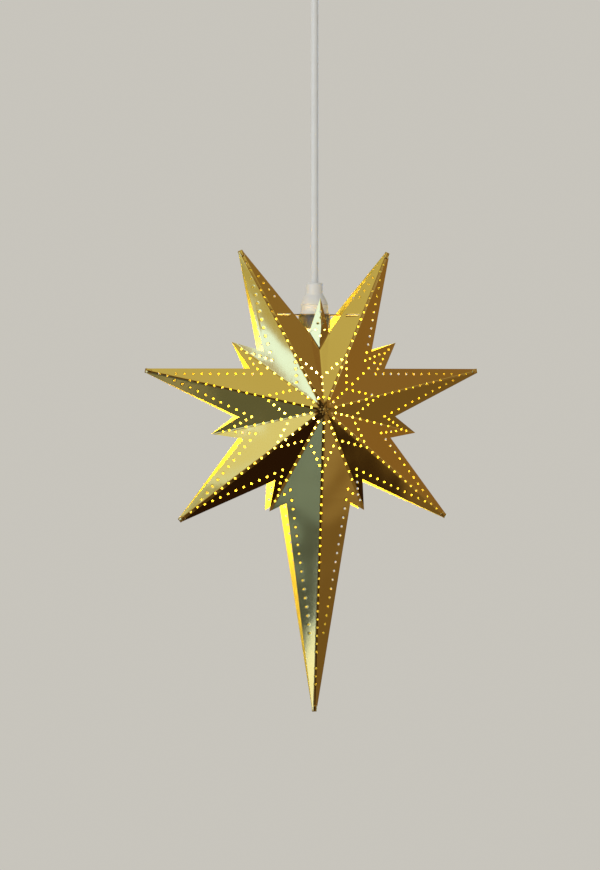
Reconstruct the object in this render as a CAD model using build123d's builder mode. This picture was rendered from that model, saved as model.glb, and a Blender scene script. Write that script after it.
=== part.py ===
# Advent star lamp: two folded brass shells that form a star with seven large and seven small points.
# A lamp holder hangs by its cord from a ceiling fitting, and a bracket under it carries the star.
# Millimetres, +Z up, origin on the ceiling above the star's centre, star's front towards -Y.
from build123d import *
import os
from cmath import rect
from math import cos, radians, sin, tan

# Star, in front view
STAR_DROP = 480.0  # from the ceiling to the star's centre
POINTS = 7
POINT_REACH = 171.2
LONG_REACH = 296.0  # the lowest point
SMALL_REACH = 105.1
LOW_SMALL_REACH = 109.2  # the two small points beside the long one
NOTCH_REACH = 78.3
NOTCH_ANGLE = 17.85  # from the large point's ridge
LOW_NOTCH_REACH = 80.3  # the notches between a short point and a low small one
LOW_NOTCH_ANGLE = 18.68
LONG_NOTCH_REACH = 95.7
LONG_NOTCH_ANGLE = 19.47
TIP_WIDTH = 4.0

# Star, in depth
HALF_DEPTH = 41.1  # from the mid-plane to the folds' centre
RIDGE_END = 0.8  # how far a ridge still stands off the mid-plane at its tip
LOW_SMALL_LIFT = 10.0  # how far the low small tips stand off the mid-plane
SHEET = 0.5  # thickness of the brass, measured along the depth
SEAM_GAP = 0.3  # between the two shells where their tips meet
LOCK_LENGTH = 5.0  # tabs of the back shell, folded over the front shell's tips
LOCK_WIDTH = 3.4
LOCK_GAP = 0.2

# Small point at the top, folded outwards round the lamp holder
CREASE_REACH = 58.3  # where the fold leaves the valley
CREASE_DEPTH = 20.5
TOP_NOTCH_REACH = 75.4
TOP_NOTCH_ANGLE = 18.2
TOP_NOTCH_DEPTH = 19.0
KITE_BEND = 82.0  # where its ridge stands out most
KITE_BEND_DEPTH = 27.0
KITE_HEIGHT = 108.5
KITE_DEPTH = 24.0

# Punched holes
HOLE_DIAMETER = 2.2
HOLE_SIDES = 3  # small punches, drawn light
HOLE_PITCH = 8.1
LONG_HOLE_PITCH = 8.7  # on the long point
EDGE_INSET = 5.3  # from the points' edges
ROW_END = 26.0  # from the tip
LONG_ROW_END = 78.0

# Lamp bracket: a level plate inside the star
BRACKET_HEIGHT = 91.9  # its underside, above the star's centre
BRACKET_SHEET = 1.0
BRACKET_DISC = 16.0
ARM_END = 6.5  # past the tabs
ARM_WIDTH = 17.0
TAB_INSET = 10.2  # from an upper point's ridge to the middle of the tabs that pass through the shells
TAB_WIDTH = 13.0
TAB_REACH = 19.0
SLIT_CLEARANCE = 0.25

# Lamp holder
SKIRT_RADIUS = 13.0
SKIRT_LENGTH = 14.0  # below the bracket
SKIRT_WALL = 1.9
FLANGE_RADIUS = 14.2
FLANGE_HEIGHT = 2.0
COLLAR_RADIUS = 13.3
COLLAR_HEIGHT = 7.1
LEDGE_RADIUS = 9.2
LEDGE_HEIGHT = 2.0
BELL_HEIGHT = 10.0
NECK_RADIUS = 8.4
NECK_HEIGHT = 11.7
NECK_ROOF = 7.4  # solid plastic round the cord at the top of the neck
CAP_WALL = 2.6
CAP_EDGE = 1.6
CORE_HEIGHT = 5.0
SCREW_SHELL_RADIUS = 7.2  # bore of the E14 screw shell
SCREW_SHELL_WALL = 0.4
SCREW_SHELL_LENGTH = 15.0
SCREW_SHELL_RIM = 10.4
POST_RADIUS = 2.0
POST_HEIGHT = 2.4
POST_PLACE = 6.4
RELIEF_HEIGHT = 4.6
CONTACT_WIDTH = 4.0
CONTACT_LENGTH = 9.0
CONTACT_STRIP = 0.4
CONTACT_DIP = 0.8
RING_RADIUS = 15.6
RING_HEIGHT = 13.5
RING_LIP = 1.2
FIT = 0.1  # between pieces that stay together
PLAY = 0.3  # between pieces that turn
SMALL_SIDES = 6  # of wires, rods, screws and their holes

# Bulb, tubular, E14
BULB_RADIUS = 12.5
BULB_LENGTH = 85.0
GLASS_WALL = 0.7
BULB_NECK_RADIUS = 6.2
BULB_NECK_LENGTH = 10.0
BULB_SHOULDER = 9.0
DOME_STEPS = 4  # short cones that draw the bulb's round end
BULB_CAP_RADIUS = 6.75
BULB_CAP_WALL = 0.4
BULB_CAP_LENGTH = 15.5
BULB_RIM_RADIUS = 7.0
BULB_RIM_HEIGHT = 2.0
BUTTON_RADIUS = 2.4
BUTTON_HEIGHT = 1.2
INSULATOR_HEIGHT = 2.6
INSULATOR_RADIUS = 5.4
STEM_LENGTH = 27.0
STEM_RADIUS = 2.2
SUPPORT_RADIUS = 0.4
SUPPORT_LENGTH = 34.0
LEAD_SPREAD = 4.0
LEAD_DROP = 6.0
FILAMENT_RADIUS = 0.3

# Cord
CORD_DIAMETER = 7.6
CORD_BEVEL = 50.0  # degrees
WIRE_RADIUS = 1.1
WIRE_PLACE = 1.5  # of each wire, from the cord's middle
WIRE_BEND = 2.2

# Ceiling fitting
CUP_RADIUS = 42.0
CUP_HEIGHT = 50.0
CUP_WALL = 2.0
CUP_BEVEL = 9.0  # round its foot
STRAP_WIDTH = 16.0
STRAP_SHEET = 1.5
STRAP_DEPTH = 21.5
STRAP_WEB = 43.0
STRAP_LENGTH = 76.0
SCREW_SPACING = 60.0
SCREW_HOLE = 4.5
NIPPLE_RADIUS = 5.0
NIPPLE_INSERT = 8.0  # how far it reaches into the cord grip
NUT_FLATS = 14.0
NUT_HEIGHT = 3.0
NIPPLE_RISE = 0.6  # above the nut
GRIP_RADIUS = 8.8
GRIP_LENGTH = 24.0
MOUTH_DEPTH = 5.0  # the flared mouth that the cord swings in
SWING = 20.0  # degrees to each side
MOUTH_FLARE = 5.0  # wider than the swing
CLAMP_RADIUS = 2.0
CLAMP_PLACE = 12.0  # below the cup
CLAMP_HEAD = 1.4
BLOCK_LENGTH = 11.0
BLOCK_WIDTH = 12.0
BLOCK_HEIGHT = 16.0
BLOCK_EDGE = 1.0
POLE_RISE = 3.0  # of the lower pole, above the end of the cord's sheath
POLE_SPACING = 5.6
TERMINAL_RADIUS = 1.6
TERMINAL_DEPTH = 3.6
WIRE_INSERT = 3.0

# Levels that several pieces share
star_z = -STAR_DROP
bracket_z = star_z + BRACKET_HEIGHT
seat_z = bracket_z + BRACKET_SHEET  # the flange stands here
parting_z = seat_z + FLANGE_HEIGHT + COLLAR_HEIGHT  # between skirt and cap
neck_z = parting_z + BELL_HEIGHT
holder_top = neck_z + NECK_HEIGHT
relief_z = holder_top - NECK_ROOF
core_top = parting_z - FIT  # the cap's rim holds the core down
core_z = core_top - CORE_HEIGHT
ledge_z = core_z - SCREW_SHELL_WALL
button_z = core_z - CONTACT_STRIP - CONTACT_DIP - FIT  # top of the bulb
web_z = -STRAP_DEPTH + STRAP_SHEET  # the strap's web, upper face
nipple_top = web_z + NUT_HEIGHT + NIPPLE_RISE
grip_z = -CUP_HEIGHT
nipple_end = grip_z - NIPPLE_INSERT
mouth_z = grip_z - GRIP_LENGTH
pivot_z = mouth_z + MOUTH_DEPTH
cord_radius = CORD_DIAMETER / 2
cord_bore = cord_radius + PLAY
half_turn = 180 / POINTS  # from a large point to the next small one
TOP_SMALL = POINTS // 2
LOW_SMALL = (0, POINTS - 1)


# Star shells, folded from sheet

def around(reach, angle):
    """A place in the star's front view, as across + up * 1j."""
    return rect(reach, radians(angle))


def off_mid_plane(place, standoff):
    """The point of the front shell's inner face at a place in front view."""
    return Vector(place.real, -standoff - SEAM_GAP / 2, star_z + place.imag)


apex = off_mid_plane(0, HALF_DEPTH)


def on_facet(place, ridge_end, valley_end):
    """The point at a place in front view of the plane through the apex, a ridge and a valley."""
    normal = (ridge_end - apex).cross(valley_end - apex)
    step = Vector(place.real, 0, place.imag)
    return Vector(place.real, apex.Y - normal.dot(step) / normal.Y, star_z + place.imag)


def axis_angle(point):
    """The direction of a large point, counted from the long one at the bottom."""
    return -90 + 2 * half_turn * point


def tip_reach(point):
    """Where the sheet of a large point ends, inside its lock tab."""
    reach = LONG_REACH if point == 0 else POINT_REACH
    return reach - SHEET - LOCK_GAP


def small_place(small):
    """A small point's tip in front view."""
    reach = LOW_SMALL_REACH if small in LOW_SMALL else SMALL_REACH
    return around(reach, axis_angle(small + 0.5))


def small_beside(point, side):
    """The small point on one side of a large one."""
    return point if side > 0 else (point - 1) % POINTS


def notch_place(point, side):
    """The notch between a large point and a small one."""
    if point == 0:
        reach, angle = LONG_NOTCH_REACH, LONG_NOTCH_ANGLE
    elif small_beside(point, side) in LOW_SMALL:
        reach, angle = LOW_NOTCH_REACH, LOW_NOTCH_ANGLE
    elif small_beside(point, side) == TOP_SMALL:
        reach, angle = TOP_NOTCH_REACH, TOP_NOTCH_ANGLE
    else:
        reach, angle = NOTCH_REACH, NOTCH_ANGLE
    return around(reach, axis_angle(point) + side * angle)


def corner_place(point, side):
    """One corner of a large point's blunt tip."""
    return around(1, axis_angle(point)) * complex(tip_reach(point), side * TIP_WIDTH / 2)


crease = off_mid_plane(around(CREASE_REACH, 90), CREASE_DEPTH)
kite_bend = off_mid_plane(around(KITE_BEND, 90), KITE_BEND_DEPTH)
kite_tip = off_mid_plane(around(KITE_HEIGHT, 90), KITE_DEPTH)


def add_plate(*corners):
    """Adds one flat plate of the sheet, a polygon in space thickened towards the front."""
    first, second, third = corners[:3]
    plane = Plane(origin=first, x_dir=second - first, z_dir=(second - first).cross(third - first))
    with BuildSketch(plane) as outline:
        with BuildLine():
            Polyline(*[plane.to_local_coords(corner) for corner in corners], close=True)
        make_face()
    extrude(outline.sketch, amount=SHEET, dir=(0, -1, 0))


def add_facet(point, side):
    """Adds the facet between a large point's ridge and the valley on one side of it."""
    small = small_beside(point, side)
    ridge_end = off_mid_plane(around(tip_reach(point), axis_angle(point)), RIDGE_END)
    lift = LOW_SMALL_LIFT if small in LOW_SMALL else 0
    valley_end = off_mid_plane(small_place(small), lift)
    corner = on_facet(corner_place(point, side), ridge_end, valley_end)
    notch = on_facet(notch_place(point, side), ridge_end, valley_end)
    add_plate(apex, ridge_end, corner, notch, valley_end)


def add_top_facet(point, side):
    """Adds a facet beside the top small point, and half of that point, folded outwards from the notch."""
    ridge_end = off_mid_plane(around(tip_reach(point), axis_angle(point)), RIDGE_END)
    notch = off_mid_plane(notch_place(point, side), TOP_NOTCH_DEPTH)
    corner = on_facet(corner_place(point, side), ridge_end, notch)
    add_plate(apex, ridge_end, corner, notch)
    add_plate(apex, notch, crease)
    add_plate(crease, notch, kite_bend)
    add_plate(kite_bend, notch, kite_tip)


with BuildPart() as star_half:
    for point in range(POINTS):
        for side in (1, -1):
            if small_beside(point, side) == TOP_SMALL:
                add_top_facet(point, side)
            else:
                add_facet(point, side)
    # slits for the bracket's tabs
    with BuildSketch(Plane.XZ):
        slit_z = bracket_z + BRACKET_SHEET / 2
        ridge_x = BRACKET_HEIGHT * tan(radians(half_turn))
        tab_x = ridge_x - TAB_INSET
        with Locations((tab_x, slit_z), (-tab_x, slit_z)):
            Rectangle(TAB_WIDTH + 2 * SLIT_CLEARANCE, BRACKET_SHEET + 2 * SLIT_CLEARANCE)
    extrude(amount=HALF_DEPTH, mode=Mode.SUBTRACT)


# Rows of punched holes

def steps(first, last, pitch):
    """Places from first towards last, a pitch apart."""
    way = last - first
    return [first + way / abs(way) * pitch * n for n in range(int(abs(way) / pitch) + 1)]


def cross(a, b):
    """The cross product of two directions in front view."""
    return (a.conjugate() * b).imag


def edge_row(point, side):
    """Holes beside a large point's edge, from where they meet the line beside the small point's edge."""
    tip, notch = corner_place(point, side), notch_place(point, side)
    small = small_place(small_beside(point, side))
    large_way = (notch - tip) / abs(notch - tip)
    small_way = (small - notch) / abs(small - notch)
    large_start = tip + 1j * side * EDGE_INSET * large_way
    small_start = notch + 1j * side * EDGE_INSET * small_way
    share = cross(small_start - large_start, small_way) / cross(large_way, small_way)
    first = large_start + share * large_way
    if point == 0:
        return steps(first, large_start + LONG_ROW_END * large_way, LONG_HOLE_PITCH)
    return steps(first, large_start + ROW_END * large_way, HOLE_PITCH)


def punched_holes():
    """The places in front view of the holes beside the large points' edges."""
    holes = []
    for point in range(POINTS):
        for side in (1, -1):
            row = edge_row(point, side)
            if small_beside(point, side) == TOP_SMALL:
                row = [hole for hole in row if hole.imag > BRACKET_HEIGHT + TAB_WIDTH]
            holes += row
    return holes


with BuildPart() as front_shell:
    add(star_half.part)
    with BuildSketch(Plane.XZ):
        with Locations(*[(hole.real, star_z + hole.imag) for hole in punched_holes()]):
            RegularPolygon(HOLE_DIAMETER / 2, HOLE_SIDES)
    extrude(amount=HALF_DEPTH + SEAM_GAP + SHEET, mode=Mode.SUBTRACT)

with BuildPart() as back_shell:
    mirror(star_half.part, about=Plane.XZ)
    for point in range(POINTS):
        angle = radians(axis_angle(point))
        along = Plane((0, 0, star_z), x_dir=(cos(angle), 0, sin(angle)), z_dir=(sin(angle), 0, -cos(angle)))
        end = tip_reach(point)
        outer = end + LOCK_GAP + SHEET
        inner = end + LOCK_GAP
        start = outer - LOCK_LENGTH
        slope = (HALF_DEPTH - RIDGE_END) / end
        ridge = {at: SEAM_GAP / 2 + RIDGE_END + slope * (end - at) for at in (start, inner, outer)}
        over = SHEET + LOCK_GAP
        with BuildSketch(along):
            with BuildLine():
                Polyline(
                    (start, -ridge[start] - SHEET),
                    (outer, -ridge[outer] - SHEET),
                    (outer, ridge[outer] + over + SHEET),
                    (start, ridge[start] + over + SHEET),
                    (start, ridge[start] + over),
                    (inner, ridge[inner] + over),
                    (inner, -ridge[inner]),
                    (start, -ridge[start]),
                    close=True,
                )
            make_face()
        extrude(amount=LOCK_WIDTH / 2, both=True)


# Lamp bracket and holder

with BuildPart() as lamp_bracket:
    with BuildSketch(Plane.XY.offset(bracket_z)):
        Circle(BRACKET_DISC)
        Rectangle(2 * (tab_x + TAB_WIDTH / 2 + ARM_END), ARM_WIDTH)
        with Locations((tab_x, 0), (-tab_x, 0)):
            Rectangle(TAB_WIDTH, 2 * TAB_REACH)
        Circle(SKIRT_RADIUS + FIT, mode=Mode.SUBTRACT)
    extrude(amount=BRACKET_SHEET)

skirt_bore = SKIRT_RADIUS - SKIRT_WALL

with BuildPart() as holder_skirt:
    with BuildSketch(Plane.XZ):
        with BuildLine():
            Polyline(
                (skirt_bore, parting_z),
                (COLLAR_RADIUS, parting_z),
                (COLLAR_RADIUS, seat_z + FLANGE_HEIGHT),
                (FLANGE_RADIUS, seat_z + FLANGE_HEIGHT),
                (FLANGE_RADIUS, seat_z),
                (SKIRT_RADIUS, seat_z),
                (SKIRT_RADIUS, bracket_z - SKIRT_LENGTH),
                (skirt_bore, bracket_z - SKIRT_LENGTH),
                (skirt_bore, ledge_z - LEDGE_HEIGHT),
                (LEDGE_RADIUS, ledge_z - LEDGE_HEIGHT),
                (LEDGE_RADIUS, ledge_z),
                (skirt_bore, ledge_z),
                close=True,
            )
        make_face()
    revolve(axis=Axis.Z)

cap_bore = COLLAR_RADIUS - CAP_WALL
neck_bore = NECK_RADIUS - CAP_WALL

with BuildPart() as holder_cap:
    with BuildSketch(Plane.XZ) as cap_profile:
        with BuildLine():
            Polyline(
                (cap_bore, parting_z),
                (COLLAR_RADIUS, parting_z),
                (NECK_RADIUS, neck_z),
                (NECK_RADIUS, holder_top),
                (cord_bore, holder_top),
                (cord_bore, relief_z),
                (neck_bore, relief_z),
                (neck_bore, neck_z - CAP_WALL),
                close=True,
            )
        make_face()
        neck_corners = cap_profile.vertices().filter_by(lambda corner: abs(corner.X - NECK_RADIUS) < FIT)
        chamfer(neck_corners, CAP_EDGE)
    revolve(axis=Axis.Z)

with BuildPart() as strain_relief:
    with Locations((0, 0, relief_z - FIT)):
        Cylinder(neck_bore - FIT, RELIEF_HEIGHT, align=(Align.CENTER, Align.CENTER, Align.MAX))
    with BuildSketch(Plane.XY.offset(relief_z)):
        with Locations((0, WIRE_PLACE), (0, -WIRE_PLACE)):
            RegularPolygon(WIRE_RADIUS + FIT, SMALL_SIDES)
    extrude(amount=-RELIEF_HEIGHT - 2 * FIT, mode=Mode.SUBTRACT)

with BuildPart() as holder_core:
    with BuildSketch(Plane.XY.offset(core_z)):
        Circle(skirt_bore - FIT)
    extrude(amount=CORE_HEIGHT)

with BuildPart() as screw_shell:
    with BuildSketch(Plane.XZ):
        with BuildLine():
            outer_radius = SCREW_SHELL_RADIUS + SCREW_SHELL_WALL
            Polyline(
                (SCREW_SHELL_RADIUS, core_z),
                (SCREW_SHELL_RIM, core_z),
                (SCREW_SHELL_RIM, ledge_z),
                (outer_radius, ledge_z),
                (outer_radius, core_z - SCREW_SHELL_LENGTH),
                (SCREW_SHELL_RADIUS, core_z - SCREW_SHELL_LENGTH),
                close=True,
            )
        make_face()
    revolve(axis=Axis.Z)

with BuildPart() as centre_contact:
    with BuildSketch(Plane.XZ):
        with BuildLine():
            low = core_z - CONTACT_DIP
            half, tongue = CONTACT_LENGTH / 2, BUTTON_RADIUS
            Polyline(
                (-half, core_z),
                (-tongue, low),
                (tongue, low),
                (half, core_z),
                (half, core_z - CONTACT_STRIP),
                (tongue, low - CONTACT_STRIP),
                (-tongue, low - CONTACT_STRIP),
                (-half, core_z - CONTACT_STRIP),
                close=True,
            )
        make_face()
    extrude(amount=CONTACT_WIDTH / 2, both=True)

with BuildPart() as terminal_posts:
    with BuildSketch(Plane.XY.offset(core_top)):
        with Locations((0, POST_PLACE), (0, -POST_PLACE)):
            RegularPolygon(POST_RADIUS, SMALL_SIDES)
    extrude(amount=POST_HEIGHT)


def holder_wire(side):
    """A wire from the strain relief to one terminal post, in the plane across the lamp."""
    with BuildPart() as wire:
        with BuildLine(Plane.YZ) as route:
            end = core_top + POST_HEIGHT
            level = end + WIRE_BEND + PLAY
            FilletPolyline(
                (side * WIRE_PLACE, relief_z - FIT),
                (side * WIRE_PLACE, level),
                (side * POST_PLACE, level),
                (side * POST_PLACE, end),
                radius=WIRE_BEND,
            )
        with BuildSketch(Plane(route.line @ 0, x_dir=(1, 0, 0), z_dir=route.line % 0)):
            RegularPolygon(WIRE_RADIUS, SMALL_SIDES)
        sweep(path=route.line)
    return wire


live_wire = holder_wire(1)
neutral_wire = holder_wire(-1)

with BuildPart() as shade_ring:
    with BuildSketch(Plane.XZ):
        with BuildLine():
            ring_top = bracket_z - FIT
            ring_bore = SKIRT_RADIUS + PLAY
            Polyline(
                (ring_bore, ring_top),
                (RING_RADIUS, ring_top),
                (RING_RADIUS, ring_top - RING_HEIGHT + RING_LIP),
                (RING_RADIUS - RING_LIP, ring_top - RING_HEIGHT),
                (ring_bore, ring_top - RING_HEIGHT),
                close=True,
            )
        make_face()
    revolve(axis=Axis.Z)


# Bulb

insulator_z = button_z - BUTTON_HEIGHT
bulb_cap_z = insulator_z - INSULATOR_HEIGHT
bulb_rim_z = bulb_cap_z - BULB_CAP_LENGTH
neck_top_z = bulb_rim_z + BULB_NECK_LENGTH
bulb_end = button_z - BULB_LENGTH
glass_bore = BULB_NECK_RADIUS - GLASS_WALL

with BuildPart() as bulb_contact:
    with BuildSketch(Plane.XY.offset(insulator_z)):
        Circle(BUTTON_RADIUS)
    extrude(amount=BUTTON_HEIGHT)

with BuildPart() as bulb_insulator:
    with BuildSketch(Plane.XZ):
        with BuildLine():
            Polyline(
                (0, insulator_z),
                (BUTTON_RADIUS, insulator_z),
                (INSULATOR_RADIUS, bulb_cap_z),
                (0, bulb_cap_z),
                close=True,
            )
        make_face()
    revolve(axis=Axis.Z)

with BuildPart() as bulb_cap:
    with BuildSketch(Plane.XZ):
        with BuildLine():
            cap_inside = BULB_CAP_RADIUS - BULB_CAP_WALL
            Polyline(
                (0, bulb_cap_z),
                (cap_inside, bulb_cap_z),
                (BULB_CAP_RADIUS, bulb_cap_z - BULB_CAP_WALL),
                (BULB_CAP_RADIUS, bulb_rim_z + BULB_RIM_HEIGHT),
                (BULB_RIM_RADIUS, bulb_rim_z),
                (cap_inside, bulb_rim_z),
                (cap_inside, bulb_cap_z - BULB_CAP_WALL),
                (0, bulb_cap_z - BULB_CAP_WALL),
                close=True,
            )
        make_face()
    revolve(axis=Axis.Z)

with BuildPart() as bulb_glass:
    with BuildSketch(Plane.XZ) as glass_profile:
        for shrink in (0, GLASS_WALL):
            mode = Mode.SUBTRACT if shrink else Mode.ADD
            neck, tube = BULB_NECK_RADIUS - shrink, BULB_RADIUS - shrink
            shoulder_z = bulb_rim_z - BULB_SHOULDER
            with BuildLine():
                Polyline((0, bulb_end + shrink), (0, neck_top_z), (neck, neck_top_z), (neck, bulb_rim_z))
                Polyline((neck, bulb_rim_z), (tube, shoulder_z), (tube, bulb_end + BULB_RADIUS))
                dome_start, dome_end = (tube, bulb_end + BULB_RADIUS), (0, bulb_end + shrink)
                dome = RadiusArc(dome_start, dome_end, tube, mode=Mode.PRIVATE)
                Polyline(*[dome @ (step / DOME_STEPS) for step in range(DOME_STEPS + 1)])
            make_face(mode=mode)
    revolve(axis=Axis.Z)

stem_end = neck_top_z - STEM_LENGTH

with BuildPart() as bulb_stem:
    with BuildSketch(Plane.XZ):
        with BuildLine():
            Polyline(
                (0, neck_top_z),
                (glass_bore - FIT, neck_top_z),
                (STEM_RADIUS, bulb_rim_z),
                (STEM_RADIUS, stem_end),
                (0, stem_end),
                close=True,
            )
        make_face()
    revolve(axis=Axis.Z)

hook_z = stem_end - SUPPORT_LENGTH


def add_rod(start, end, radius):
    """Adds a round rod between two points."""
    way = Vector(*end) - Vector(*start)
    with BuildSketch(Plane(start, z_dir=way)) as section:
        RegularPolygon(radius, SMALL_SIDES)
    extrude(section.sketch, amount=way.length)


with BuildPart() as filament_supports:
    add_rod((0, 0, stem_end), (0, 0, hook_z), SUPPORT_RADIUS)
    for side in (1, -1):
        lead_top = (side * (STEM_RADIUS - SUPPORT_RADIUS), 0, stem_end - SUPPORT_RADIUS)
        add_rod(lead_top, (side * LEAD_SPREAD, 0, stem_end - LEAD_DROP), SUPPORT_RADIUS)

with BuildPart() as bulb_filament:
    # it lies against the front of the leads and of the middle rod
    front = -(SUPPORT_RADIUS + FILAMENT_RADIUS + FIT)
    for side in (1, -1):
        add_rod((side * LEAD_SPREAD, front, stem_end - LEAD_DROP), (0, front, hook_z), FILAMENT_RADIUS)


# Cord, with a bevelled end that stays within its radius of the bend in the grip's mouth

cord_end = relief_z
cord_top = pivot_z + cord_radius * sin(radians(CORD_BEVEL))

with BuildPart() as cord:
    with BuildSketch(Plane.XZ):
        with BuildLine():
            Polyline(
                (0, cord_top),
                (cord_radius * cos(radians(CORD_BEVEL)), cord_top),
                (cord_radius, pivot_z),
                (cord_radius, cord_end),
                (0, cord_end),
                close=True,
            )
        make_face()
    revolve(axis=Axis.Z)


# Ceiling fitting

with BuildPart() as ceiling_cup:
    with BuildSketch(Plane.XZ):
        with BuildLine():
            Polyline(
                (0, 0),
                (CUP_RADIUS, 0),
                (CUP_RADIUS, CUP_BEVEL - CUP_HEIGHT),
                (CUP_RADIUS - CUP_BEVEL, -CUP_HEIGHT),
                (0, -CUP_HEIGHT),
                close=True,
            )
        make_face()
    revolve(axis=Axis.Z)
    offset(amount=-CUP_WALL, openings=ceiling_cup.faces().sort_by(Axis.Z)[-1])
    with BuildSketch(Plane.XY.offset(-CUP_HEIGHT)):
        Circle(NIPPLE_RADIUS + FIT)
    extrude(amount=CUP_HEIGHT / 2, mode=Mode.SUBTRACT)

with BuildPart() as ceiling_strap:
    with BuildSketch(Plane.XZ):
        with BuildLine():
            web, foot = STRAP_WEB / 2, STRAP_LENGTH / 2
            half_hat = [
                (0, -STRAP_DEPTH),
                (web, -STRAP_DEPTH),
                (web, -STRAP_SHEET),
                (foot, -STRAP_SHEET),
                (foot, 0),
                (web - STRAP_SHEET, 0),
                (web - STRAP_SHEET, web_z),
                (0, web_z),
            ]
            Polyline(*half_hat, close=True)
        make_face()
        mirror(about=Plane.YZ)
    extrude(amount=STRAP_WIDTH / 2, both=True)
    with Locations((SCREW_SPACING / 2, 0, 0), (-SCREW_SPACING / 2, 0, 0)):
        Hole(SCREW_HOLE / 2, depth=STRAP_SHEET)
    with Locations((0, 0, web_z)):
        Hole(NIPPLE_RADIUS + FIT, depth=STRAP_SHEET)

with BuildPart() as strap_nut:
    with BuildSketch(Plane.XY.offset(web_z)):
        RegularPolygon(NUT_FLATS / 2, 6, major_radius=False, rotation=30)
        Circle(NIPPLE_RADIUS + FIT, mode=Mode.SUBTRACT)
    extrude(amount=NUT_HEIGHT)

with BuildPart() as nipple:
    with BuildSketch(Plane.XY.offset(nipple_end)):
        Circle(NIPPLE_RADIUS)
        Circle(cord_bore, mode=Mode.SUBTRACT)
    extrude(amount=nipple_top - nipple_end)

with BuildPart() as cord_grip:
    with BuildSketch(Plane.XZ):
        with BuildLine():
            mouth_radius = cord_bore + MOUTH_DEPTH * tan(radians(SWING + MOUTH_FLARE))
            Polyline(
                (NIPPLE_RADIUS + FIT, grip_z),
                (GRIP_RADIUS, grip_z),
                (GRIP_RADIUS, mouth_z),
                (mouth_radius, mouth_z),
                (cord_bore, pivot_z),
                (cord_bore, nipple_end - FIT),
                (NIPPLE_RADIUS + FIT, nipple_end - FIT),
                close=True,
            )
        make_face()
    revolve(axis=Axis.Z)
    with BuildSketch(Plane((0, 0, grip_z - CLAMP_PLACE), z_dir=(0, 1, 0))):
        RegularPolygon(CLAMP_RADIUS + FIT, SMALL_SIDES)
    extrude(amount=GRIP_RADIUS, mode=Mode.SUBTRACT)

with BuildPart() as grip_screw:
    with BuildSketch(Plane((0, cord_radius + FIT, grip_z - CLAMP_PLACE), z_dir=(0, 1, 0))):
        RegularPolygon(CLAMP_RADIUS, SMALL_SIDES)
    extrude(amount=GRIP_RADIUS + CLAMP_HEAD - cord_radius - FIT)

tail_top = nipple_top + FIT
tail_end = pivot_z + cord_radius + PLAY

with BuildPart() as cord_tail:
    with BuildSketch(Plane.XY.offset(tail_end)):
        Circle(cord_radius)
    extrude(amount=tail_top - tail_end)

block_x = NUT_FLATS / 2 + PLAY
pole_levels = [tail_top + POLE_RISE + POLE_SPACING, tail_top + POLE_RISE]

with BuildPart() as terminal_block:
    with BuildSketch(Plane.XY.offset(web_z)):
        with Locations((block_x, 0)):
            Rectangle(BLOCK_LENGTH, BLOCK_WIDTH, align=(Align.MIN, Align.CENTER))
    extrude(amount=BLOCK_HEIGHT)
    chamfer(terminal_block.edges().filter_by(Axis.X), BLOCK_EDGE)
    # wire holes from the nipple's side, screw holes from the front
    for side, level in zip((1, -1), pole_levels):
        with BuildSketch(Plane((block_x, side * WIRE_PLACE, level), z_dir=(1, 0, 0))):
            RegularPolygon(WIRE_RADIUS + FIT, SMALL_SIDES)
        extrude(amount=WIRE_INSERT + FIT, mode=Mode.SUBTRACT)
        with BuildSketch(Plane((block_x + BLOCK_LENGTH / 2, -BLOCK_WIDTH / 2, level), z_dir=(0, 1, 0))):
            RegularPolygon(TERMINAL_RADIUS + FIT, SMALL_SIDES)
        extrude(amount=TERMINAL_DEPTH, mode=Mode.SUBTRACT)

with BuildPart() as terminal_screws:
    for level in pole_levels:
        head = Plane((block_x + BLOCK_LENGTH / 2, -BLOCK_WIDTH / 2 + BLOCK_EDGE, level), z_dir=(0, 1, 0))
        with BuildSketch(head):
            RegularPolygon(TERMINAL_RADIUS, SMALL_SIDES)
        extrude(amount=TERMINAL_DEPTH - BLOCK_EDGE)


def ceiling_core(side, level):
    """One of the cord's two cores, from the end of its sheath into the terminal block."""
    with BuildPart() as core:
        with BuildLine(Plane.XZ.offset(-side * WIRE_PLACE)) as route:
            FilletPolyline((0, tail_top), (0, level), (block_x + WIRE_INSERT, level), radius=WIRE_BEND)
        with BuildSketch(Plane(route.line @ 0, x_dir=(1, 0, 0), z_dir=route.line % 0)):
            RegularPolygon(WIRE_RADIUS, SMALL_SIDES)
        sweep(path=route.line)
    return core


live_core = ceiling_core(1, pole_levels[0])
neutral_core = ceiling_core(-1, pole_levels[1])


# One file for each piece

pieces = {
    "ceiling_strap": ceiling_strap,
    "strap_nut": strap_nut,
    "nipple": nipple,
    "cord_grip": cord_grip,
    "grip_screw": grip_screw,
    "ceiling_cup": ceiling_cup,
    "terminal_block": terminal_block,
    "terminal_screws": terminal_screws,
    "cord_tail": cord_tail,
    "live_core": live_core,
    "neutral_core": neutral_core,
    "cord": cord,
    "holder_cap": holder_cap,
    "strain_relief": strain_relief,
    "holder_core": holder_core,
    "holder_skirt": holder_skirt,
    "screw_shell": screw_shell,
    "centre_contact": centre_contact,
    "terminal_posts": terminal_posts,
    "live_wire": live_wire,
    "neutral_wire": neutral_wire,
    "lamp_bracket": lamp_bracket,
    "front_shell": front_shell,
    "back_shell": back_shell,
    "shade_ring": shade_ring,
    "bulb_glass": bulb_glass,
    "bulb_cap": bulb_cap,
    "bulb_insulator": bulb_insulator,
    "bulb_contact": bulb_contact,
    "bulb_stem": bulb_stem,
    "filament_supports": filament_supports,
    "bulb_filament": bulb_filament,
}

os.makedirs("parts", exist_ok=True)
for name, piece in pieces.items():
    piece.part.label = name
    export_step(piece.part, f"parts/{name}.step")
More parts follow.
